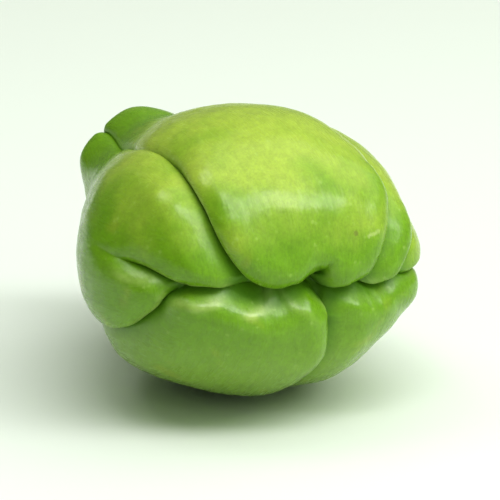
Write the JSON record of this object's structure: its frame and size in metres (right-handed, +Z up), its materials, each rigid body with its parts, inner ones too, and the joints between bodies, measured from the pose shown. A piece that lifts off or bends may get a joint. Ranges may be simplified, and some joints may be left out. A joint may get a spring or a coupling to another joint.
{
  "type": "chayote squash",
  "caption": "Whole chayote squash lying on its side, pear-shaped, with deep lengthwise furrows and a folded cleft at the blossom end.",
  "frame": {"origin": "on the surface the fruit rests on, under the middle of its bounding box", "axes": "-Y towards the blossom end with the folded cleft, +Y along the fruit towards its stem end, +X to the right when looking at the blossom end, +Z up as the fruit lies at rest"},
  "size_m": [0.0946, 0.1262, 0.0786],
  "materials": {
    "chayote_skin": "smooth light green waxy skin, satin"
  },
  "bodies": {
    "root": {"chayote_fruit": "chayote_skin"}
  },
  "joints": []
}
